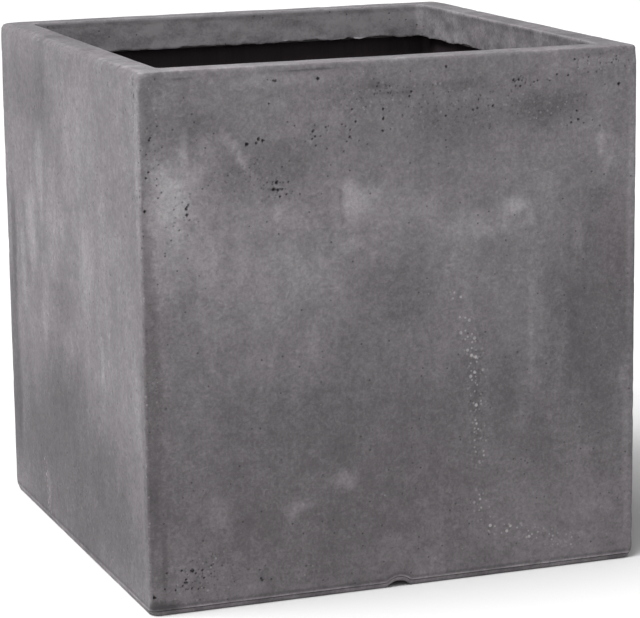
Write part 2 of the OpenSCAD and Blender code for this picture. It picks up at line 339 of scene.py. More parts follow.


# ------------------------ clouds, stains and painted shade on the faces
# Soft marks: side, along, height, reach to the left, to the right, up and down, lean, and strength
# (above 0 is lighter). A short reach gives a hard border on that side. Places are as for air holes.
MARKS = [
    # the warm patch by the left edge and the wisps over it
    ("front", -231, 376, 13, 28, 62, 92, 0, 0.46),
    ("front", -228, 400, 8, 16, 26, 36, 0, 0.16),
    ("front", -206, 398, 18, 22, 38, 76, 0, 0.28),
    ("front", -208, 440, 4, 5, 22, 20, 0, 0.34),
    ("front", -194, 414, 8, 12, 10, 16, 0.3, 0.16),
    ("front", -168, 446, 14, 8, 3, 5, -0.3, 0.2),
    ("front", -157, 431, 4, 4.5, 26, 28, -0.62, 0.42),
    ("front", -146, 420, 2.5, 3, 20, 20, -0.55, 0.2),
    # the cloud in the middle, with a straight left border
    ("front", -52, 390, 2.5, 36, 12, 38, 0, 0.4),
    ("front", -14, 372, 40, 60, 28, 34, 0, 0.16),
    ("front", -34, 342, 24, 10, 6, 18, 0.9, 0.16),
    ("front", -110, 336, 100, 110, 80, 100, 0, 0.16),
    ("front", 80, 350, 44, 40, 16, 22, 0, 0.24),
    ("front", 124, 364, 18, 13, 11, 11, 0, 0.5),
    ("front", 138, 360, 5, 5, 8, 16, 0, 0.2),
    ("front", 212, 418, 5, 6, 15, 18, 0, 0.46),
    ("front", 220, 400, 5, 5, 16, 20, 0.1, 0.3),
    ("front", 147, 412, 2.5, 2.5, 10, 12, 0, 0.22),
    ("front", 155, 385, 12, 12, 18, 30, 0, 0.12),
    ("front", -118, 376, 2, 2, 7, 9, 0, 0.34),
    # upright brush marks hanging from it, and a fainter cloud to the lower left
    ("front", -62, 372, 4, 6, 44, 60, 0, 0.14),
    ("front", -76, 340, 5, 4, 30, 50, 0, 0.12),
    ("front", -22, 345, 4, 6, 24, 30, 0, 0.12),
    ("front", 4, 335, 5, 5, 26, 30, 0, 0.1),
    ("front", 32, 362, 5, 6, 20, 30, 0, 0.14),
    ("front", 64, 366, 5, 6, 18, 26, 0, 0.14),
    ("front", -108, 232, 50, 50, 40, 40, 0, 0.16),
    ("front", -84, 262, 10, 12, 30, 36, 0, 0.12),
    ("front", -190, 340, 16, 22, 30, 40, 0, 0.14),
    ("front", -176, 300, 6, 8, 34, 40, 0, 0.12),
    # light streaks on the right half
    ("front", 140, 250, 4, 4, 80, 90, 0.02, 0.16),
    ("front", 170, 262, 7, 9, 110, 70, 0, 0.14),
    ("front", 188, 330, 4, 7, 50, 46, 0, 0.18),
    ("front", 170, 210, 10, 12, 34, 40, 0.1, 0.16),
    ("front", 236, 186, 3, 4, 16, 14, 0, 0.34),
    ("front", 240, 130, 4, 5, 90, 110, 0, 0.2),
    ("front", 243, 330, 4, 7, 190, 130, 0, 0.22),
    ("front", 128, 150, 7, 7, 20, 22, 0, 0.16),
    # blobs low down
    ("front", -55, 112, 12, 14, 12, 13, 0, 0.4),
    ("front", -52, 103, 5, 8, 4, 4, 0.2, 0.16),
    ("front", -104, 93, 12, 22, 7, 9, 0.2, 0.34),
    ("front", -106, 83, 10, 8, 8, 12, 0.3, 0.26),
    ("front", -182, 92, 12, 14, 14, 14, 0, 0.14),
    ("front", -165, 48, 10, 10, 10, 10, 0, 0.26),
    ("front", -100, 30, 9, 9, 9, 9, 0, 0.28),
    ("front", -4, 44, 20, 22, 12, 14, 0, 0.18),
    ("front", 62, 130, 18, 14, 40, 40, 0, 0.12),
    ("front", 90, 170, 9, 9, 90, 60, 0, 0.14),
    ("front", -110, 496, 60, 110, 7, 8, 0, 0.2),
    ("front", 205, 495, 60, 50, 8, 10, 0, 0.22),
    # dark: the strip down the left edge, rough bands near the top, and painted shade over the whole lower
    # and right part
    ("front", -242, 230, 11, 9, 110, 210, 0, -0.26),
    ("front", -243, 460, 9, 8, 60, 40, 0, -0.2),
    ("front", -240, 50, 14, 26, 80, 60, 0, -0.1),
    ("front", -238, 7, 14, 24, 9, 9, 0, -0.7),
    ("front", -235, 40, 3, 4, 50, 40, 0, -0.22),
    ("front", 62, 482, 46, 50, 3, 5, 0, -0.3),
    ("front", -20, 486, 34, 34, 3, 4, 0.1, -0.3),
    ("front", 0, 478, 30, 30, 2, 3, -0.1, -0.24),
    ("front", -76, 504, 40, 14, 1.2, 1.4, 0, -0.5),
    ("front", -206, 502, 14, 16, 1.2, 1.4, 0, -0.4),
    ("front", 160, 458, 60, 40, 22, 26, 0, -0.26),
    ("front", 60, 440, 60, 60, 34, 30, 0, -0.16),
    ("front", -200, 462, 44, 60, 22, 22, 0, -0.22),
    ("front", -110, 418, 60, 60, 22, 22, 0, -0.12),
    ("front", -130, 352, 34, 24, 16, 20, 0, -0.12),
    # painted shade: darker towards the bottom and towards the right, where less light falls
    ("front", -40, 130, 330, 300, 150, 150, 0, -0.32),
    ("front", 212, 260, 70, 60, 120, 140, 0, -0.42),
    ("front", 98, 200, 40, 20, 60, 60, 0, -0.1),
    ("front", 10, 290, 60, 60, 30, 40, 0, -0.12),
    ("front", 222, 120, 30, 30, 90, 90, 0, -0.16),
    ("front", -150, 60, 40, 40, 30, 30, 0, -0.12),
    ("front", 150, 128, 30, 14, 50, 40, 0, -0.12),
    # the left side: soft upright brushing, darker at its far edge, with painted shade darker to the ground
    ("left", -150, 300, 24, 26, 60, 60, -0.15, 0.26),
    ("left", -104, 378, 14, 14, 40, 60, 0, 0.26),
    ("left", -140, 330, 16, 18, 60, 60, 0, 0.16),
    ("left", -60, 330, 50, 60, 60, 60, 0, 0.18),
    ("left", -100, 210, 12, 20, 60, 40, 0, 0.18),
    ("left", -184, 262, 14, 16, 56, 46, -0.1, 0.24),
    ("left", 60, 300, 24, 30, 60, 70, 0, 0.18),
    ("left", 110, 210, 6, 6, 34, 30, 0, 0.28),
    ("left", 30, 420, 60, 90, 60, 60, 0, 0.12),
    ("left", -120, 450, 130, 90, 44, 40, 0, -0.2),
    ("left", -220, 290, 14, 10, 60, 90, 0, -0.4),
    ("left", -226, 150, 30, 16, 120, 150, 0, -0.4),
    ("left", -30, 250, 60, 60, 22, 30, 0, -0.16),
    ("left", -60, 170, 80, 100, 50, 60, 0, -0.24),
    # painted shade, darker to the ground
    ("left", 0, 60, 280, 290, 130, 90, 0, -0.5),
    ("left", -108, 38, 7, 7, 26, 24, 0, 0.3),
    ("left", 242, 390, 5, 9, 140, 110, 0, 0.14),
    ("left", 244, 170, 9, 8, 110, 130, 0, -0.24),
]
# Warmer places, in the same form: the damp part by the ground and two edges of the front.
WARM = [
    ("front", -240, 240, 24, 16, 200, 280, 0, 1.0),
    ("front", 0, 30, 400, 400, 150, 90, 0, 1.0),
    ("front", 232, 310, 30, 30, 70, 60, 0, 0.9),
    ("right", 0, 30, 400, 400, 150, 90, 0, 1.0),
    ("back", 0, 30, 400, 400, 150, 90, 0, 1.0),
]
# Pitted places, where the paste was stiff: side, along, height, reach along, reach up, strength.
PITTED = [
    ("front", -20, 478, 60, 26, 0.9),
    ("front", 128, 480, 30, 14, 1.0),
    ("front", 214, 496, 40, 20, 1.0),
    ("front", 160, 452, 40, 24, 0.8),
    ("front", -114, 396, 30, 18, 1.0),
    ("front", -208, 378, 14, 36, 0.7),
    ("front", -236, 440, 14, 70, 0.8),
    ("front", -200, 34, 50, 34, 1.0),
    ("front", -100, 30, 24, 18, 0.7),
    ("front", -150, 405, 60, 30, 0.7),
    ("front", 60, 465, 110, 34, 0.8),
    ("front", -236, 200, 12, 90, 0.6),
    ("front", -249, 270, 4, 280, 1.0),
    ("front", 84, 190, 14, 90, 0.7),
    ("left", 236, 480, 14, 30, 1.0),
    ("left", 60, 60, 190, 50, 0.4),
    ("right", -150, 440, 60, 50, 0.9),
    ("right", 170, 52, 60, 40, 0.9),
    ("back", -110, 466, 80, 30, 0.9),
    ("back", 190, 60, 50, 40, 0.9),
]
# Trails of tiny white specks: side, strength, then (along, height) at the start, any bend and the end.
SPECK_TRAILS = [
    ("front", 1.0, [(60, 280), (80, 220), (85, 120)]),
    ("front", 1.0, [(85, 80), (95, 50), (185, 25)]),
    ("left", 0.6, [(-120, 65), (-110, 10)]),
    ("right", 0.5, [(-120, 330), (-95, 190)]),
    ("back", 0.5, [(40, 300), (60, 150), (110, 60)]),
]


def random_marks(rng, count=18):
    """Marks for the right side and the back, count on each, and a band of painted shade by the ground, in
    the form of MARKS.
    """
    marks = []
    for side in ("right", "back"):
        for _ in range(count):
            wide, tall = rng.uniform(12, 90), rng.uniform(15, 110)
            along, z = rng.uniform(-220, 220), rng.uniform(60, 470)
            left, down = wide * rng.uniform(0.3, 1), tall * rng.uniform(0.5, 1)
            lean, strength = rng.uniform(-0.1, 0.1), rng.uniform(-0.3, 0.42)
            marks.append((side, along, z, left, wide, tall, down, lean, strength))
        # painted shade, darker by the ground
        marks.append((side, 0, 50, 260, 260, 90, 70, 0.0, -0.25))
    return marks


def wander(points):
    """How far the borders of soft marks wander at each point: coarse and fine, along and up."""
    return [fuzz(points, size, seed) for size, seed in ((34, 1), (11, 2), (42, 3), (13, 4))]


def tone(points, side, marks, drift):
    """Sum of the soft marks of a side at each point, with their borders moved by the drift."""
    out, right = side_axes(side)
    facing = ease(points[:, :2] @ out, HALF - 5, HALF - 0.5)
    along = points[:, :2] @ right
    total = np.zeros(len(points))
    for _, u, z, left, to_right, up, down, lean, strength in [m for m in marks if m[0] == side]:
        loose, free = min(1, (left + to_right) / 70), min(1, (up + down) / 90)
        dz = points[:, 2] + free * (9 * drift[2] + 3 * drift[3]) - z
        du = along + loose * (7 * drift[0] + 2.5 * drift[1]) - u - lean * dz
        r = np.hypot(du / np.where(du < 0, left, to_right), dz / np.where(dz > 0, up, down))
        total += strength * (1 - ease(r, 0.35, 1.2))
    return total * facing


def pitting(points):
    """0 to 1 for how pitted the faces are at each point."""
    total = np.zeros(len(points))
    patchy = 0.65 + 0.5 * layered(points, 18, 71)
    for side, u, z, wide, tall, strength in PITTED:
        out, right = side_axes(side)
        r = np.hypot((points[:, :2] @ right - u) / wide, (points[:, 2] - z) / tall)
        total = np.maximum(total, strength * (1 - ease(r, 0.3, 1.2)) * (points[:, :2] @ out > HALF - 4))
    return np.clip(total * patchy, 0, 1)


def trail(points, side, path):
    """1 on a trail of specks, falling to 0 beside it."""
    out, right = side_axes(side)
    place = np.stack([points[:, :2] @ right, points[:, 2]], axis=1)
    gap = np.full(len(points), 1e9)
    for a, b in zip(path[:-1], path[1:]):
        a, b = np.array(a, float), np.array(b, float)
        t = np.clip((place - a) @ (b - a) / ((b - a) @ (b - a)), 0, 1)[:, None]
        gap = np.minimum(gap, np.linalg.norm(place - a - t * (b - a), axis=1))
    return (1 - ease(gap, 2, 12)) * (points[:, :2] @ out > HALF - 6)


# ------------------------ mesh helpers
def new_object(name, points, faces, body, replaces, material, attributes=None):
    """A smooth-shaded piece, from points in millimetres, that rides a body and stands for CAD nodes."""
    mesh = bpy.data.meshes.new(name)
    mesh.from_pydata((np.asarray(points) * MM).tolist(), [], faces)
    for key, values in (attributes or {}).items():
        layer = mesh.attributes.new(key, "FLOAT", "POINT")
        layer.data.foreach_set("value", np.asarray(values, np.float32))
    mesh.shade_smooth()
    mesh.update()
    piece = bpy.data.objects.new(name, mesh)
    bpy.context.scene.collection.objects.link(piece)
    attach(piece, body)
    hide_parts(*replaces)
    mesh.materials.append(material)


def rounded(profile, radius):
    """A closed (r, z) profile with its corners rounded, by at most a third of their shorter leg."""
    out = []
    for i, here in enumerate(profile):
        here, before, after = map(np.array, (here, profile[i - 1], profile[(i + 1) % len(profile)]))
        a, b = before - here, after - here
        cut = min(radius, np.linalg.norm(a) / 3, np.linalg.norm(b) / 3)
        start, end = here + a / np.linalg.norm(a) * cut, here + b / np.linalg.norm(b) * cut
        for t in np.linspace(0, 1, CORNER_STEPS + 1):
            out.append((1 - t) ** 2 * start + 2 * t * (1 - t) * here + t * t * end)
    return np.array(out)


def lathe(profile, segments=96, on_axis=False):
    """Turns a profile about Z. On a solid piece, the ends of the profile lie on the axis."""
    turns = np.linspace(0, 2 * pi, segments, endpoint=False)
    points = np.array([(r * cos(a), r * sin(a), z) for r, z in profile for a in turns])
    rows = len(profile)
    faces = ring_quads(rows, segments, closed=not on_axis)
    if on_axis:
        faces.append(tuple(range(segments))[::-1])
        faces.append(tuple((rows - 1) * segments + i for i in range(segments)))
    return points, faces


# ------------------------ materials
class Material:
    """A node material in the making. Its patterns run in the frame of the object, in metres."""

    def __init__(self, name, **shader):
        self.material = bpy.data.materials.new(name)
        self.material.use_nodes = True
        self.tree = self.material.node_tree
        self.shader = self.tree.nodes["Principled BSDF"]
        for key, value in shader.items():
            self.shader.inputs[key.replace("_", " ")].default_value = value
        self.where = self.node("ShaderNodeTexCoord").outputs["Object"]

    def node(self, kind, **settings):
        made = self.tree.nodes.new(kind)
        for key, value in settings.items():
            setattr(made, key, value)
        return made

    def link(self, value, socket):
        if isinstance(value, bpy.types.NodeSocket):
            self.tree.links.new(value, socket)
        else:
            socket.default_value = value

    def stretch(self, x, y, z):
        """The frame of the object stretched along its axes, for streaks."""
        made = self.node("ShaderNodeMapping")
        made.inputs["Scale"].default_value = (1 / x, 1 / y, 1 / z)
        self.link(self.where, made.inputs["Vector"])
        return made.outputs["Vector"]

    def noise(self, size, detail=4.0, rough=0.55, where=None, twist=0.0):
        made = self.node("ShaderNodeTexNoise")
        self.link(where or self.where, made.inputs["Vector"])
        made.inputs["Scale"].default_value = 1 / size
        made.inputs["Detail"].default_value = detail
        made.inputs["Roughness"].default_value = rough
        made.inputs["Distortion"].default_value = twist
        return made.outputs["Fac"]

    def dots(self, spacing, radius, share):
        """Round dots in a share of the cells of a Voronoi pattern."""
        made = self.node("ShaderNodeTexVoronoi")
        self.link(self.where, made.inputs["Vector"])
        made.inputs["Scale"].default_value = 1 / spacing
        near = self.spread(made.outputs["Distance"], radius / spacing, 0.55 * radius / spacing, 0, 1)
        split = self.node("ShaderNodeSeparateColor")
        self.link(made.outputs["Color"], split.inputs["Color"])
        chosen = self.math("LESS_THAN", split.outputs["Red"], share)
        return self.math("MULTIPLY", near, chosen)

    def attribute(self, name):
        return self.node("ShaderNodeAttribute", attribute_name=name).outputs["Fac"]

    def math(self, operation, a, b, clamp=False):
        made = self.node("ShaderNodeMath", operation=operation, use_clamp=clamp)
        self.link(a, made.inputs[0])
        self.link(b, made.inputs[1])
        return made.outputs["Value"]

    def total(self, *terms):
        """Sum of (value, weight, middle) terms, each value taken about its middle, or else about 0.5."""
        summed = 0.0
        for value, weight, *middle in terms:
            centred = self.math("SUBTRACT", value, middle[0] if middle else 0.5)
            term = self.math("MULTIPLY", centred, weight)
            summed = self.math("ADD", summed, term)
        return summed

    def spread(self, value, low, high, to_low=0.0, to_high=1.0):
        """value taken smoothly from low..high to to_low..to_high."""
        made = self.node("ShaderNodeMapRange", interpolation_type="SMOOTHSTEP")
        self.link(value, made.inputs["Value"])
        ends = {"From Min": low, "From Max": high, "To Min": to_low, "To Max": to_high}
        for key, number in ends.items():
            made.inputs[key].default_value = number
        return made.outputs["Result"]

    def ramp(self, value, *stops):
        made = self.node("ShaderNodeValToRGB")
        ramp = made.color_ramp
        while len(ramp.elements) < len(stops):
            ramp.elements.new(0.5)
        for element, (place, colour) in zip(ramp.elements, stops):
            element.position = place
            element.color = (*colour, 1)
        self.link(value, made.inputs["Fac"])
        return made.outputs["Color"]

    def mix(self, factor, a, b, blend="MIX"):
        made = self.node("ShaderNodeMix", data_type="RGBA", blend_type=blend)
        self.link(factor, made.inputs["Factor"])
        self.link(a if isinstance(a, bpy.types.NodeSocket) else (*a, 1), made.inputs["A"])
        self.link(b if isinstance(b, bpy.types.NodeSocket) else (*b, 1), made.inputs["B"])
        return made.outputs["Result"]

    def bump(self, height, depth, strength=1.0):
        made = self.node("ShaderNodeBump")
        made.inputs["Distance"].default_value = depth
        made.inputs["Strength"].default_value = strength
        self.link(height, made.inputs["Height"])
        return made.outputs["Normal"]

    def finish(self, colour, roughness, normal):
        self.link(colour, self.shader.inputs["Base Color"])
        self.link(roughness, self.shader.inputs["Roughness"])
        self.link(normal, self.shader.inputs["Normal"])
        return self.material


def cement_material():
    """Smooth cast cement: clouds, a fine grain, pinholes with painted shade in them, white specks, and
    lighter edges that are partly wear and partly painted highlight.
    """
    m = Material("cast_cement", Specular_IOR_Level=0.35)
    clouds = m.noise(0.13, 5, 0.55)
    blotches = m.noise(0.034, 5, 0.6, twist=0.4)
    streaks = m.noise(0.02, 4, 0.6, where=m.stretch(1, 1, 6))
    mottle = m.noise(0.011, 5, 0.7, twist=0.5)
    curd = m.noise(0.0052, 3, 0.6, twist=0.8)
    grain = m.noise(0.0026, 3, 0.6)
    dust = m.noise(0.0011, 2, 0.6)
    pitted = m.attribute("pitted")
    few = m.dots(0.010, 0.0012, 0.6)
    many = m.math("MULTIPLY", m.dots(0.0045, 0.0013, 0.9), pitted)
    pinholes = m.math("MAXIMUM", few, many)
    crumbs = m.math("MULTIPLY", m.dots(0.0056, 0.0014, 0.8), pitted)
    flecks = m.dots(0.0078, 0.0021, 0.9)
    fine_flecks = m.math("MULTIPLY", m.dots(0.0046, 0.0014, 0.9), 0.6)

    level = m.total(
        (clouds, 0.24), (blotches, 0.26), (streaks, 0.16),
        (mottle, 0.36), (curd, 0.36), (grain, 0.34), (dust, 0.2),
        (m.attribute("tone"), 0.5, 0.0), (m.attribute("wear_and_highlight"), 0.35, 0.0), (pitted, -0.05, 0.0),
    )
    level = m.math("ADD", level, 0.5)
    colour = m.ramp(
        level,
        (0.0, (0.055, 0.051, 0.055)),
        (0.3, (0.1115, 0.104, 0.111)),
        (0.5, (0.171, 0.160, 0.1705)),
        (0.72, (0.267, 0.252, 0.266)),
        (1.0, (0.42, 0.40, 0.418)),
    )
    hue = m.spread(m.noise(0.075, 3, 0.5), 0.38, 0.62)
    colour = m.mix(0.1, colour, m.mix(hue, (0.95, 1.02, 0.97), (1.04, 0.97, 1.02)), "MULTIPLY")
    warm = m.math("MULTIPLY", m.attribute("warm"), 1.0, clamp=True)
    colour = m.mix(warm, colour, (1.02, 0.998, 1.0), "MULTIPLY")
    white = m.math("MULTIPLY", m.math("MAXIMUM", flecks, fine_flecks), m.attribute("speck"))
    white = m.math("MAXIMUM", white, m.math("MULTIPLY", crumbs, 0.5))
    colour = m.mix(m.math("MULTIPLY", white, 0.8), colour, (0.44, 0.42, 0.43))
    stray = m.math("MULTIPLY", m.dots(0.016, 0.0008, 0.16), 0.4)
    colour = m.mix(stray, colour, (0.45, 0.44, 0.44))
    # painted shade in the pinholes and the air holes
    hole_shade = m.math("MAXIMUM", m.math("MULTIPLY", pinholes, 0.62), m.attribute("pit_shade"), clamp=True)
    colour = m.mix(hole_shade, colour, (0.022, 0.020, 0.021))

    roughness = m.math("ADD", 0.8, m.total((blotches, 0.28), (grain, 0.16)), clamp=True)
    relief = m.total((grain, 0.5), (dust, 0.25), (curd, 0.5), (mottle, 0.8), (pinholes, -1.4, 0.0))
    return m.finish(colour, roughness, m.bump(relief, 0.00022, 0.8))


def raw_cement_material():
    """The rough back of hand-laid cement, with short glass fibres showing in it."""
    m = Material("raw_fibre_cement", Specular_IOR_Level=0.3)
    lumps = m.noise(0.012, 5, 0.6)
    grain = m.noise(0.002, 4, 0.65)
    along = m.noise(0.0018, 2, 0.5, where=m.stretch(9, 1, 1), twist=1.4)
    across = m.noise(0.0018, 2, 0.5, where=m.stretch(1, 9, 4), twist=1.4)
    fibres = m.spread(m.math("MAXIMUM", along, across), 0.66, 0.72)
    level = m.math("ADD", 0.5, m.total((m.noise(0.08), 0.5), (lumps, 0.5), (grain, 0.4)))
    colour = m.ramp(
        level, (0.1, (0.12, 0.115, 0.115)), (0.5, (0.24, 0.235, 0.228)), (0.9, (0.40, 0.39, 0.375)),
    )
    colour = m.mix(m.math("MULTIPLY", fibres, 0.55), colour, (0.55, 0.54, 0.50))
    roughness = m.math("ADD", 0.88, m.total((lumps, 0.2)), clamp=True)
    relief = m.total((lumps, 1.0), (grain, 0.4), (fibres, 0.4, 0.0))
    return m.finish(colour, roughness, m.bump(relief, 0.0009))


def mat_material():
    """Chopped glass strands, soaked in cement paste."""
    m = Material("glass_strand_mat", Specular_IOR_Level=0.4)
    one = m.noise(0.0014, 2, 0.5, where=m.stretch(10, 1, 1), twist=2.0)
    two = m.noise(0.0014, 2, 0.5, where=m.stretch(1, 10, 1), twist=2.0)
    three = m.noise(0.0014, 2, 0.5, where=m.stretch(1, 1, 10), twist=2.0)
    strands = m.spread(m.math("MAXIMUM", m.math("MAXIMUM", one, two), three), 0.55, 0.68)
    paste = m.noise(0.02, 5, 0.6)
    colour = m.mix(strands, (0.30, 0.295, 0.28), (0.78, 0.79, 0.74))
    colour = m.mix(m.spread(paste, 0.45, 0.7, 0, 0.6), colour, (0.36, 0.35, 0.34))
    roughness = m.spread(strands, 0, 1, 0.85, 0.5)
    return m.finish(colour, roughness, m.bump(m.total((strands, 1.0), (paste, 0.6)), 0.0006))


def seal_material():
    """Black bituminous seal, brushed on: upright brush marks, thin places and a dull sheen."""
    m = Material("brushed_black_seal", Specular_IOR_Level=0.4)
    brush = m.noise(0.0028, 3, 0.6, where=m.stretch(1, 1, 22), twist=0.3)
    runs = m.noise(0.017, 4, 0.6, where=m.stretch(1, 1, 9))
    pools = m.noise(0.05, 5, 0.6)
    dust = m.noise(0.0012, 3, 0.6)
    level = m.math("ADD", 0.42, m.total((brush, 0.3), (runs, 0.5), (pools, 0.45), (dust, 0.25)))
    colour = m.ramp(
        level, (0.1, (0.034, 0.026, 0.031)), (0.55, (0.076, 0.060, 0.069)), (0.95, (0.17, 0.145, 0.16)),
    )
    roughness = m.math("ADD", 0.52, m.total((runs, 0.35), (brush, 0.25), (pools, 0.2)), clamp=True)
    relief = m.total((brush, 0.7), (runs, 0.8), (dust, 0.25), (pools, 0.5))
    return m.finish(colour, roughness, m.bump(relief, 0.0007))


def plastic_material():
    """Dull black moulded plastic with a fine spark texture and cement smears."""
    m = Material("moulded_black_plastic", Specular_IOR_Level=0.5)
    spark = m.noise(0.0007, 3, 0.7)
    smear = m.spread(m.noise(0.008, 5, 0.65), 0.54, 0.72)
    colour = m.mix(m.spread(spark, 0.3, 0.7), (0.014, 0.014, 0.015), (0.03, 0.03, 0.032))
    colour = m.mix(m.math("MULTIPLY", smear, 0.6), colour, (0.17, 0.165, 0.16))
    roughness = m.math("ADD", 0.42, m.total((smear, 0.35, 0.0), (spark, 0.2)), clamp=True)
    return m.finish(colour, roughness, m.bump(m.total((spark, 0.7), (smear, 0.6, 0.0)), 0.00012))


def rubber_material():
    """Soft black rubber, dusted with dry cement in its hollows."""
    m = Material("black_plug_rubber", Specular_IOR_Level=0.35)
    skin = m.noise(0.0011, 4, 0.6)
    bloom = m.spread(m.noise(0.006, 5, 0.6), 0.42, 0.7)
    colour = m.mix(m.spread(skin, 0.3, 0.7), (0.010, 0.010, 0.011), (0.022, 0.022, 0.023))
    colour = m.mix(m.math("MULTIPLY", bloom, 0.4), colour, (0.10, 0.098, 0.095))
    roughness = m.math("ADD", 0.66, m.total((bloom, 0.25, 0.0), (skin, 0.2)), clamp=True)
    return m.finish(colour, roughness, m.bump(m.total((skin, 0.6), (bloom, 0.3)), 0.00015))


def floor_material():
    """Pale studio floor with the faintest unevenness."""
    m = Material("pale_floor", Specular_IOR_Level=0.2)
    soft = m.noise(0.7, 4, 0.5)
    grain = m.noise(0.004, 3, 0.6)
    level = m.math("ADD", 0.5, m.total((soft, 0.5), (grain, 0.3)))
    colour = m.ramp(level, (0.2, (0.90, 0.90, 0.90)), (0.8, (0.94, 0.94, 0.94)))
    roughness = m.math("ADD", 0.75, m.total((soft, 0.1)), clamp=True)
    return m.finish(colour, roughness, m.bump(grain, 0.0002, 0.4))


# ------------------------ the cast cement pieces
def square_distances(points):
    """How far each point is from the middle, square on, and from the middle of its side, along it."""
    plan = np.abs(points[:, :2])
    return plan.max(axis=1), plan.min(axis=1)


def shell_mesh(holes):
    """The swept face coat, finer near its air holes: points, the way each faces, and faces."""
    stations = outline()
    points, quads = sweep(shell_profile(), stations, arris_rounding(stations))
    mesh = bmesh.new()
    corners = [mesh.verts.new(p) for p in points.tolist()]
    for quad in quads:
        mesh.faces.new([corners[i] for i in quad])
    mesh.verts.index_update()
    refine(mesh, holes, (3.6, 1.6, 0.7))
    mesh.normal_update()
    mesh.verts.index_update()
    flat = np.array([v.co[:] for v in mesh.verts])
    facing = np.array([v.normal[:] for v in mesh.verts])
    faces = [[v.index for v in face.verts] for face in mesh.faces]
    mesh.free()
    return flat, facing, faces


def shell_colours(flat, facing, over_seam, low, marks):
    """Colour attributes of the face coat, apart from its air holes."""
    reach, across = square_distances(flat)
    z = flat[:, 2]
    drift = wander(flat)
    level = sum(tone(flat, side, marks, drift) for side in SIDES)
    warm = sum(tone(flat, side, WARM, drift) for side in SIDES)

    # the lip inside the rim: mottled, with painted light where it faces the front, and stained below
    inner = (reach < HALF - RIM_T + 2) & (z < TOP - 1)
    facing_front = np.clip(-facing[:, 1], 0, 1)
    level += inner * (0.35 * layered(flat, 26, 31, (1, 1, 0.6)) + 0.7 * facing_front + 0.06)
    stains = 0.5 * ease(layered(flat, 14, 36), 0.25, 0.8) * (1 - ease(z, LIP_Z + 2, LIP_Z + 12))
    level -= inner * stains

    # the top of the rim painted lighter, as the light falls on it from above, and lighter still by the
    # front and near the front left corner, partly wear and partly painted highlight
    crown = ease(facing[:, 2], 0.75, 1) * ease(z, TOP - 4, TOP - 0.5)
    rubbed_and_lit = 0.14 * ease(-flat[:, 1], 200, 240) + 0.26 * ease(-flat[:, 0] - flat[:, 1], 260, 470)
    level += crown * (0.16 + 0.2 * layered(flat, 30, 37) + rubbed_and_lit)

    # a dark line over the seam, and lighter lines along the arrises and the seam: partly wear, partly
    # painted highlight
    level -= low * 0.34 * np.exp(-(((over_seam - 3.6) / 1.5) ** 2))
    corner = 1 - ease(HALF - across, 0, 7)
    edge_line = np.maximum(corner ** 2, 1 - ease(np.abs(z - TOP + 2), 0, 4)) * (reach > HALF - 5)
    inner_line = (1 - ease(np.abs(reach - (HALF - RIM_T)), 0, 2.4)) * (z > TOP - 2.5)
    seam_line = low * (1 - ease(np.abs(over_seam - 1.1), 0, 1.8))
    wear_and_highlight = np.maximum.reduce([0.12 * edge_line * (z > 300), 0.7 * inner_line, 0.9 * seam_line])
    wear_and_highlight *= 0.65 + 0.35 * fuzz(flat, 14, 33)

    trails = [strength * trail(flat, side, path) for side, strength, path in SPECK_TRAILS]
    speck = np.maximum.reduce(trails)
    return {"tone": level, "wear_and_highlight": wear_and_highlight, "speck": speck, "pitted": pitting(flat), "warm": warm}


def cement_shell(cement):
    """Face coat: outer walls with air holes, the rim and the lip with its ragged lower edge."""
    rng = np.random.default_rng(41)
    holes = air_holes(rng)
    flat, facing, faces = shell_mesh(holes)
    points = flat.copy()
    reach, across = square_distances(flat)
    z = flat[:, 2]

    # over each notch the lower edge lifts in an arch, and a fine bead runs along it
    _, seam = notched(flat)
    low = (z < NOTCH_REACH) & (reach > HALF - COAT_T - BASE_INSET)
    lifted = np.where(low, seam + (z - SEAM_Z) * (NOTCH_REACH - seam) / (NOTCH_REACH - SEAM_Z), z)
    over_seam = lifted - seam
    pull = np.where(low, base_inset(z) - base_inset(lifted), 0)
    bead = 0.5 * np.exp(-(((over_seam - 1.2) / 0.9) ** 2)) * (facing[:, 2] < 0.5) * low
    points[:, 2] = lifted
    points[:, :2] += outward(flat) * (pull + bead * (0.6 + 0.5 * fuzz(flat, 30, 8)))[:, None]
    points[:, :2] = np.clip(points[:, :2], -HALF, HALF)

    # a hand-cast face is never quite flat, and its arrises are slightly worn
    lip_face = (reach < HALF - RIM_T + 1.5) & (z > LIP_Z - 1)
    skin = (reach > HALF - 2.5) | (z > TOP - 2) | lip_face
    swell = 0.24 * (1 + layered(flat, 110, 11)) + 0.1 * (1 + fuzz(flat, 24, 12))
    corner = 1 - ease(HALF - across, 0, 7)
    arris = np.maximum(corner, 1 - ease(TOP - z, 0, 5)) * (reach > HALF - 6)
    chips = 0.5 * ease(layered(flat, 9, 13, (1, 1, 1.6)), 0.1, 0.9) * arris
    deep, inside = hole_depth(flat, holes)
    points -= facing * ((np.clip(swell, 0.02, 0.9) + chips) * skin + deep)[:, None]

    # the lip's lower edge is ragged
    lip = (reach < HALF - RIM_T + 4) & (z < LIP_Z + 12)
    rag = 1.8 * layered(flat * (1, 1, 0), 15, 21) + 1.9 * fuzz(flat * (1, 1, 0), 52, 24)
    points[:, 2] += np.where(lip, rag * (1 - ease(z, LIP_Z, LIP_Z + 12)), 0)
    rough_lip = ((reach < HALF - RIM_T + 1) & (z < TOP - 5)) * 0.35
    points -= facing * (rough_lip * (1 + layered(flat, 13, 26)))[:, None]

    attributes = shell_colours(flat, facing, over_seam, low, MARKS + random_marks(rng))
    # painted shade inside the air holes
    attributes["pit_shade"] = inside
    new_object("cement_shell", points, faces, "planter", ["face_coat"], cement, attributes)


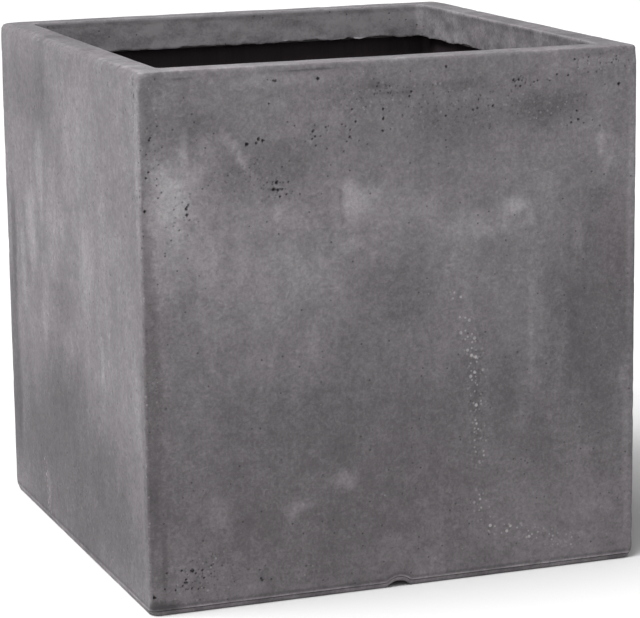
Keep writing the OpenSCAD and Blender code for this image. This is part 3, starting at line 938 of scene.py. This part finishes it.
def cement_foot(cement):
    """Foot ring: its rounded lower edge, the flat that it stands on and the notches through it."""
    flat, quads = sweep(foot_profile(), outline())
    points = flat.copy()
    out = outward(flat)
    reach, _ = square_distances(flat)
    z = flat[:, 2]
    notch, seam = notched(flat)
    outer = reach > HALF - BASE_INSET - 1
    band = outer & (z < SEAM_Z)
    top = seam - SEAM_GAP
    raised = np.where(band, notch + z * (top - notch) / (SEAM_Z - SEAM_GAP), z)
    lifted = outer & (z >= SEAM_Z) & (z < BASE_Z - 1)
    raised = np.where(lifted, z + seam - SEAM_Z, raised)
    raised = np.where(~outer, notch + z * (BASE_Z - notch) / BASE_Z, raised)
    over_notch = raised - notch
    pull = np.where(band, base_inset(z) - base_inset(raised), 0)
    lip = np.where(band & (notch > 0), 0.9 * (1 - ease(over_notch, 0, 1.3)), 0)
    points[:, 2] = raised
    points[:, :2] += out * (pull - lip)[:, None]
    rough = 0.16 * (1 + layered(flat, 18, 41)) * (raised < SEAM_Z + 8)
    points[:, :2] -= out * (rough * band)[:, None]
    inner = reach < HALF - FOOT_W + 1
    points[:, :2] += out * (rough * inner)[:, None]

    # painted shade: the foot darker as it turns under, and darkest along the ground and the edge of each
    # notch
    level = 0.3 * layered(flat, 26, 43) - 0.16 - 0.35 * (1 - ease(over_notch, 0.4, 1.8))
    # a light line along the band, partly wear and partly painted highlight
    ridge = np.exp(-((over_notch / np.maximum(top - notch, 1) - 0.55) / 0.12) ** 2)
    wear_and_highlight = band * 0.7 * ridge * ease(fuzz(flat, 60, 44), -0.1, 0.6)
    none, full = np.zeros(len(points)), np.ones(len(points))
    attributes = {"tone": level, "pit_shade": none, "wear_and_highlight": wear_and_highlight, "speck": none, "pitted": none, "warm": full}
    new_object("cement_foot", points, quads, "planter", ["foot_ring"], cement, attributes)


def seal_skin(seal):
    """Black seal: wavy brushed walls, a soft fillet round the floor and the floor to the drain."""
    floor_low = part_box("waterproof_seal")[0][2] / MM
    floor = floor_low + SEAL_T
    inset, corner_r, fillet = WALL_T + SEAL_T, 10.5, 7
    rows = [(WALL_T, LIP_Z, corner_r + SEAL_T), (inset, LIP_Z, corner_r)]
    rows += [(inset, z, corner_r) for z in np.linspace(LIP_Z - SEAL_T, floor + fillet, 60)]
    for a in np.radians([18, 36, 54, 72, 90]):
        rows.append((inset + fillet * (1 - cos(a)), floor + fillet * (1 - sin(a)), corner_r))
    stations = outline()
    around = len(stations[0])
    walls, _ = sweep(rows, stations)

    # the floor runs in from the last ring of the fillet to the drain, and back out underneath
    ring = walls[-around:, :2]
    angle = np.arctan2(ring[:, 1], ring[:, 0])
    hole = SLEEVE_R * np.stack([np.cos(angle), np.sin(angle)], axis=1)
    rings = [walls]
    steps = 42
    for k in np.linspace(0, 1, steps + 1)[1:]:
        rings.append(np.column_stack([ring * (1 - k) + hole * k, np.full(around, floor)]))
    rings.append(np.column_stack([hole, np.full(around, floor_low)]))
    rings.append(sweep([(WALL_T, floor_low, corner_r + SEAL_T)], stations)[0])
    flat = np.vstack(rings)

    points = flat.copy()
    reach, _ = square_distances(flat)
    z = flat[:, 2]
    wall = (reach > HALF - inset - 0.1) & (reach < HALF - WALL_T - 0.1) & (z < LIP_Z - 1)
    wave = 0.45 * layered(flat, 60, 51) + 0.3 * layered(flat, 9, 54, (1, 1, 5))
    points[:, :2] += outward(flat) * (np.clip(wave, -0.9, 0.9) * wall)[:, None]
    flat_r = 26     # the floor stays flat round the drain, under the flange
    on_floor = (np.abs(z - floor) < 0.5) & (np.hypot(flat[:, 0], flat[:, 1]) > flat_r)
    points[:, 2] += (0.25 * layered(flat, 40, 57) + 0.12 * layered(flat, 8, 59)) * on_floor
    quads = ring_quads(len(flat) // around, around)
    new_object("seal_skin", points, quads, "planter", ["waterproof_seal"], seal)


def drain_tube(plastic):
    """Moulded drain sleeve with a rounded flange."""
    low, high = (np.array(c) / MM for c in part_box("drain_sleeve"))
    flange_r, bottom, top = high[0], low[2], high[2]
    flange_t, softness = 2, 0.7
    seat = top - flange_t
    outside = [(SLEEVE_R, bottom), (SLEEVE_R, seat), (flange_r, seat), (flange_r, top)]
    bore = [(SLEEVE_BORE_R, top), (SLEEVE_BORE_R, bottom)]
    points, faces = lathe(rounded(outside + bore, softness))
    new_object("drain_tube", points, faces, "planter", ["drain_sleeve"], plastic)


def drain_stopper(rubber):
    """Rubber plug: ribbed stem, domed head with a moulded ring and a waisted grip."""
    low, high = (np.array(c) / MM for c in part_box("drain_plug"))
    head_r, bottom, top = high[0], low[2], high[2]
    stem_r, waist_r, grip_r, neck_r = 11.9, 10.7, 8, 4.8
    head_t, axis_r, softness = 4, 0.01, 0.6
    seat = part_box("drain_sleeve")[1][2] / MM
    head = seat + head_t
    stem = seat - bottom
    rows = [(axis_r, bottom), (stem_r, bottom)]
    for rib in range(3):
        base = bottom + stem * 0.4 * rib
        rows.append((stem_r, base + stem * 0.2))
        if rib < 2:
            rows += [(waist_r, base + stem * 0.24), (waist_r, base + stem * 0.36)]
            rows.append((stem_r, base + stem * 0.4))
    rows += [(head_r, seat), (head_r, head - 0.8), (head_r - 2, head), (13.4, head)]
    rows += [(12.8, head - 0.5), (12.2, head), (neck_r + 1.2, head), (neck_r, head + 1.6)]
    rows += [(neck_r, head + 6), (grip_r, head + 7.6)]
    rows += [(grip_r, top - 1.4), (grip_r - 2, top), (axis_r, top)]
    ends = CORNER_STEPS + 1
    soft = rounded(rows, softness)[ends:-ends]
    points, faces = lathe([rows[0], *soft, rows[-1]], on_axis=True)
    new_object("drain_stopper", points, faces, "plug", ["drain_plug"], rubber)


# ------------------------ build
cement = cement_material()
raw = raw_cement_material()
mat = mat_material()
cement_shell(cement)
cement_foot(cement)
seal_skin(seal_material())
drain_tube(plastic_material())
drain_stopper(rubber_material())

# the layers inside the wall keep their CAD shape
for name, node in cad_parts.items():
    if name.startswith(("mat_", "strip_")):
        inside = mat
    elif name in ("fibre_backing", "rim_core", "base_slab", "underside_coat"):
        inside = raw
    else:
        continue
    for slot in node.material_slots:
        slot.material = inside

# ------------------------ stage, light and camera
FLOOR_HALF = 20     # metres
floor_mesh = bpy.data.meshes.new("studio_floor")
floor_corners = [(x * FLOOR_HALF, y * FLOOR_HALF, 0) for x, y in ((-1, -1), (1, -1), (1, 1), (-1, 1))]
floor_mesh.from_pydata(floor_corners, [], [(0, 1, 2, 3)])
floor = bpy.data.objects.new("studio_floor", floor_mesh)
bpy.context.scene.collection.objects.link(floor)
floor.data.materials.append(floor_material())


def add_light(name, kind, energy, place, target):
    """A light that stands at a place and faces a target, both in metres."""
    light = bpy.data.lights.new(name, kind)
    light.energy = energy
    holder = bpy.data.objects.new(name, light)
    holder.location = place
    holder.rotation_euler = (Vector(target) - Vector(place)).to_track_quat("-Z", "Y").to_euler()
    bpy.context.scene.collection.objects.link(holder)
    return light


key = add_light("key", "SUN", 3.7, (-2.3, -0.4, 3.5), (0, 0, 0.25))
key.angle = radians(55)
fill = add_light("fill", "AREA", 2, (-1.7, -2.4, 1.3), (-0.1, 0, 0.3))
fill.shape = "DISK"
fill.size = 1.6

world = bpy.data.worlds.new("studio")
world.use_nodes = True
background = world.node_tree.nodes["Background"]
background.inputs["Color"].default_value = (1, 1, 1, 1)
background.inputs["Strength"].default_value = 0.32
bpy.context.scene.world = world
bpy.context.scene.view_settings.view_transform = "Standard"

# the camera stands left of the front, above the rim, with a long lens: place in metres, turns in degrees
CAMERA_PLACE = (-0.9649, -2.6465, 0.8077)
CAMERA_PAN, CAMERA_DIP, CAMERA_ROLL = 20.317, 11.676, 0.784
camera = bpy.data.objects.new("camera", bpy.data.cameras.new("camera"))
camera.data.lens = 157.4
camera.data.sensor_width = 36
place = Matrix.Translation(CAMERA_PLACE)
turn = Matrix.Rotation(radians(-CAMERA_PAN), 4, "Z") @ Matrix.Rotation(radians(90 - CAMERA_DIP), 4, "X")
camera.matrix_world = place @ turn @ Matrix.Rotation(radians(-CAMERA_ROLL), 4, "Z")
bpy.context.scene.collection.objects.link(camera)
bpy.context.scene.camera = camera
